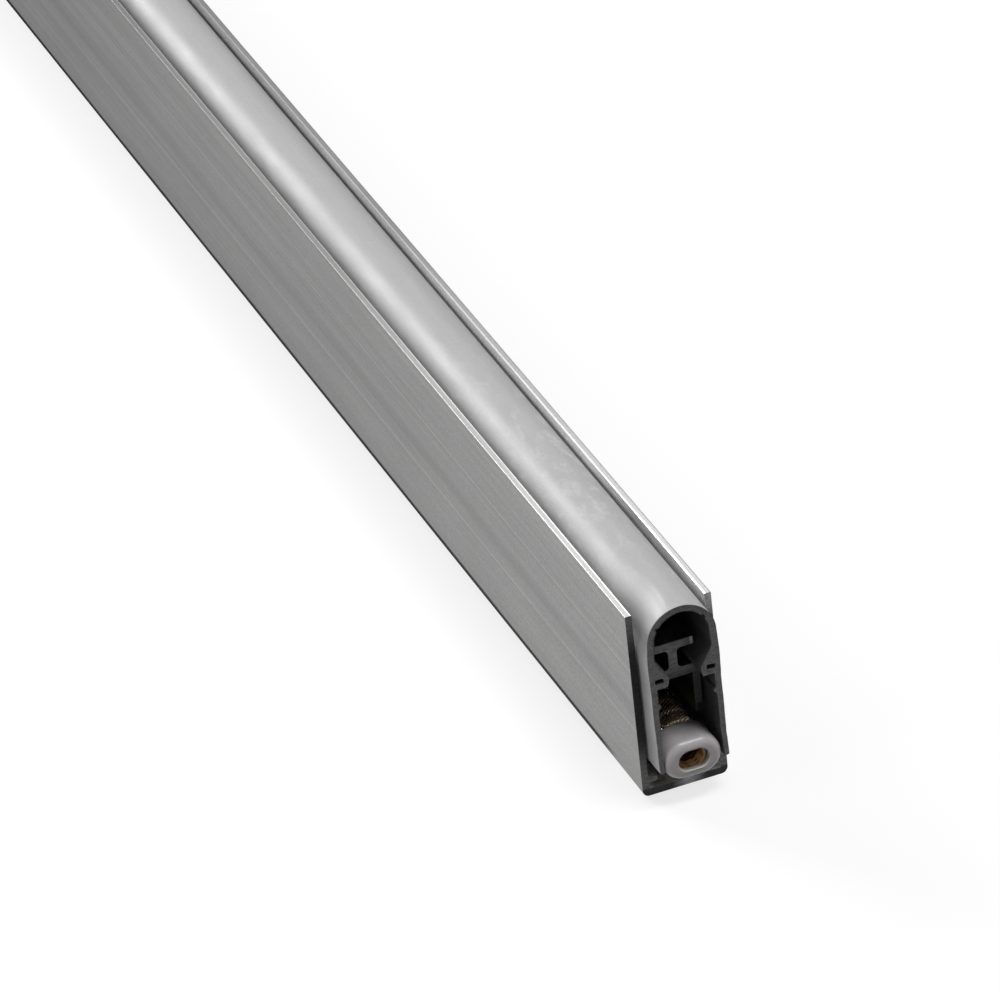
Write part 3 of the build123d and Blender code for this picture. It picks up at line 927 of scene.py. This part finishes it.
def turned_metal(name, colour, rough):
    """Turned or drawn metal with fine rings round the rod's axis."""
    finish = Finish(name, Metallic=1.0)
    rings = finish.noise(0.12 * MM, (40, 1, 40), detail=2)
    stain = finish.noise(1.5 * MM, detail=3)
    finish.put("Base Color", finish.shade(colour, finish.span(stain, 0.3, 0.7, 0.8, 1.1)))
    finish.put("Roughness", finish.span(rings, 0.3, 0.7, rough - 0.08, rough + 0.1))
    finish.bump((3.0e-6, rings))
    return finish.material


def knurled_brass(axis, outside, front):
    """Brass, bright on the crests of the knurl and brown with old grease in its grooves; within the
    head its front face and bore are painted dark as painted shade.
    """
    finish = Finish("brass", Metallic=1.0)
    drop = finish.math("SUBTRACT", finish.z, axis)
    squares = finish.math("ADD", finish.times(finish.x, finish.x), finish.times(drop, drop))
    radius = finish.math("SQRT", squares)
    crest = finish.span(radius, outside - 0.24 * MM, outside - 0.04 * MM)
    grime_and_painted_shade = finish.noise(0.24 * MM, detail=3)
    share = finish.times(crest, finish.span(grime_and_painted_shade, 0.45, 0.6))
    barrel = finish.mix(share, BRASS_GROOVE, BRASS_CREST)
    bore = THREAD_ROOT + THREAD_DEPTH
    in_bore = finish.span(radius, bore, bore + 2 * THREAD_GAP, 1, 0)
    # Painted shade: within the head the brass's front face and bore take dark colours.
    mouth = finish.mix(in_bore, BRASS_FRONT_PAINTED_SHADE, BRASS_BORE_PAINTED_SHADE)
    in_head = finish.span(finish.y, front + 3.5 * MM, front + 3.8 * MM, 1, 0)
    finish.put("Base Color", finish.mix(in_head, barrel, mouth))
    finish.put("Roughness", finish.span(share, 0, 1, 0.5, 0.25))
    return finish.material


def white_when_seen(tree, light, strength):
    """A strength that is 1 where camera, mirror or glass rays arrive, and less for lighting."""
    path = tree.nodes.new("ShaderNodeLightPath")
    seen = path.outputs["Is Camera Ray"]
    for ray in ("Is Glossy Ray", "Is Transmission Ray"):
        both = tree.nodes.new("ShaderNodeMath")
        both.operation = "MAXIMUM"
        tree.links.new(seen, both.inputs[0])
        tree.links.new(path.outputs[ray], both.inputs[1])
        seen = both.outputs[0]
    span = tree.nodes.new("ShaderNodeMapRange")
    tree.links.new(seen, span.inputs["Value"])
    span.inputs["To Min"].default_value = light
    span.inputs["To Max"].default_value = strength
    return span.outputs["Result"]


def world():
    """A dim even light all round that is white where it is seen."""
    made = bpy.data.worlds.new("studio")
    made.use_nodes = True
    bpy.context.scene.world = made
    back = made.node_tree.nodes["Background"]
    back.inputs["Color"].default_value = (1, 1, 1, 1)
    strength = white_when_seen(made.node_tree, WORLD_LIGHT, 1.0)
    made.node_tree.links.new(strength, back.inputs["Strength"])


def floor(height):
    """Pale floor that keeps the object's shadow and is white where it is lit."""
    mesh = bpy.data.meshes.new("floor")
    half = FLOOR_SIZE / 2
    corners = [(x, y, height) for x, y in ((-half, -half), (half, -half), (half, half), (-half, half))]
    mesh.from_pydata(corners, [], [(0, 1, 2, 3)])
    piece = bpy.data.objects.new("floor", mesh)
    bpy.context.scene.collection.objects.link(piece)
    finish = Finish("floor", Roughness=1.0, Specular_IOR_Level=0.0)
    finish.put("Base Color", FLOOR_COLOUR)
    finish.put("Emission Color", (1, 1, 1, 1))
    finish.put("Emission Strength", white_when_seen(finish.tree, 0.0, FLOOR_GLOW))
    mesh.materials.append(finish.material)


def lamp(name, direction, size, power, target):
    """A square soft light that looks at the target."""
    light = bpy.data.lights.new(name, "AREA")
    light.shape = "SQUARE"
    light.size = size
    light.energy = power
    made = bpy.data.objects.new(name, light)
    bpy.context.scene.collection.objects.link(made)
    way = Vector(direction).normalized()
    made.location = target + way * LAMP_DISTANCE
    made.rotation_mode = "QUATERNION"
    made.rotation_quaternion = way.to_track_quat("Z", "Y")


def camera():
    """Camera at the photograph's angle."""
    data = bpy.data.cameras.new("camera")
    data.lens = CAMERA_LENS
    data.sensor_width = SENSOR_WIDTH
    data.clip_start, data.clip_end = 0.02, 20
    made = bpy.data.objects.new("camera", data)
    bpy.context.scene.collection.objects.link(made)
    turn = Matrix((CAMERA_RIGHT, CAMERA_UP, CAMERA_BACK)).transposed()
    made.matrix_world = Matrix.Translation(CAMERA_PLACE) @ turn.to_4x4()
    bpy.context.scene.camera = made


def dress(finish, *nodes):
    """Gives CAD nodes that stay a finish of their own."""
    for name in nodes:
        node = frame["nodes"][name]
        node.data.materials.clear()
        node.data.materials.append(finish)


def build():
    """Finishes on the CAD nodes that stay, and the pieces that take the place of others."""
    housing_low, housing_high, _, _ = box_of("housing")
    carrier_low, carrier_high, _, _ = box_of("carrier")
    insert_low, _, insert_middle, insert_size = box_of("plunger_insert")
    seal_low, seal_high, _, _ = box_of("seal_strip")
    # grey(0.9) is painted light on the inner faces of the housing; grey(0.045) is painted shade on its
    # sawn ends.
    mill = extruded_aluminium("mill_aluminium", MILL, grey(0.9), grey(0.045),
                              HOUSING_END_PAINTED_LIGHT, housing_low, housing_high)
    # Painted shade: the carrier takes grey(0.10), a darker copy of the mill colour, standing in for
    # the shade it sits in; its sawn ends are painted darker still.
    dark = extruded_aluminium("dark_aluminium", grey(0.10), grey(0.10), grey(0.05),
                              CARRIER_END_PAINTED_LIGHT, carrier_low, carrier_high)
    plastic = moulded_plastic("grey_plastic", PLASTIC, 0.32, 0.15 * MM)
    # Painted highlight on the rim of the key opening.
    edge = moulded_plastic("painted_rim_highlight", PLASTIC_RIM_HIGHLIGHT, 0.35, 0.15 * MM)
    black = moulded_plastic("dark_plastic", grey(0.035), 0.45, 0.2 * MM)
    zinc = turned_metal("zinc_steel", ZINC, 0.35)
    tinted = turned_metal("rod_steel", TINTED_STEEL, 0.3)
    steel = turned_metal("spring_steel", SPRING_STEEL, 0.3)
    brass = knurled_brass(insert_middle.z, insert_size.x / 2, insert_low.y)
    rubber = [seal_rubber(seal_low, seal_high), cut_rubber(), shaded_inner_rubber()]
    dress(mill, "housing")
    dress(dark, "carrier")
    dress(black, "rod_guide", "guide_block_front", "guide_block_rear",
          "cam_slider_front", "cam_slider_rear", "lift_plate_front", "lift_plate_rear")
    dress(zinc, "rod_guide_screw", "guide_block_screws", "guide_pin_front", "guide_pin_rear",
          "cam_pin_front", "cam_pin_rear", "slider_rivets", "slide_strip")
    seal_strip("drop_seal", rubber)
    plunger("plunger_head", [plastic, edge])
    plunger_insert("plunger_head", brass)
    push_rod("adjuster", tinted)
    return_spring("channel", steel)


build()
world()
floor(cad_low.z)
middle = (cad_low + cad_high) / 2
lamp("key", KEY_DIRECTION, KEY_SIZE, KEY_POWER, middle)
lamp("back", BACK_DIRECTION, BACK_SIZE, BACK_POWER, middle)
lamp("fill", FILL_DIRECTION, FILL_SIZE, FILL_POWER, middle)
lamp("top", TOP_DIRECTION, TOP_SIZE, TOP_POWER, middle)
lamp("side", SIDE_DIRECTION, SIDE_SIZE, SIDE_POWER, middle)
camera()
bpy.context.scene.view_settings.view_transform = "Standard"
